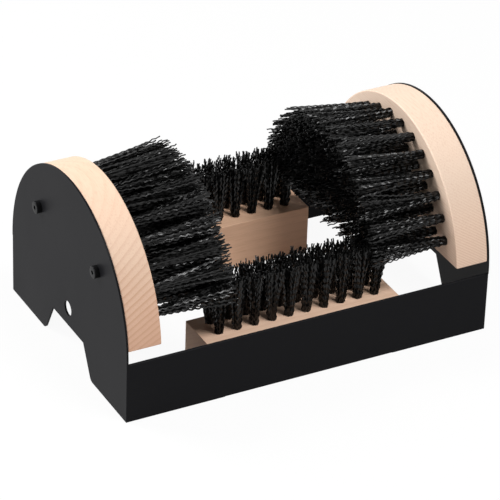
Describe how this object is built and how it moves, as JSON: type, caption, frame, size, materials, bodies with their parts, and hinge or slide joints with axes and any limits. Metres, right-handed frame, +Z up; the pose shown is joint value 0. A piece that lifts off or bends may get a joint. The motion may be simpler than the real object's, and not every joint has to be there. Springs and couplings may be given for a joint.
{
  "type": "boot scraper",
  "caption": "Free-standing boot brush: bent steel frame with arched brushes at its ends and lower brushes along its walls, all in beech blocks, for scrubbing boots drawn between them.",
  "frame": {"origin": "on the ground, under the middle of the steel frame", "axes": "+X along the long side, from the left end plate to the right one; +Y from the front wall to the rear wall; +Z up"},
  "size_m": [0.308, 0.2, 0.15],
  "materials": {
    "frame_steel": "black powder coat on sheet steel, satin to gloss, smooth",
    "beech": "sanded beech, bare, pale straw to pink, fine short flecks",
    "bristle": "black crimped polypropylene bristle with a soft gloss",
    "black_screw": "black oxide steel, satin"
  },
  "bodies": {
    "root": {"frame_front_right": "frame_steel", "frame_rear_left": "frame_steel", "arched_block_left": "beech", "arched_block_right": "beech", "arched_bristles_left": "bristle", "arched_bristles_right": "bristle", "lower_block_front": "beech", "lower_block_rear": "beech", "lower_bristles_front": "bristle", "lower_bristles_rear": "bristle", "arched_screw_left_front": "black_screw", "arched_screw_left_rear": "black_screw", "arched_screw_right_front": "black_screw", "arched_screw_right_rear": "black_screw", "base_screw_front_left": "black_screw", "base_screw_front_right": "black_screw", "base_screw_rear_left": "black_screw", "base_screw_rear_right": "black_screw"}
  },
  "joints": []
}
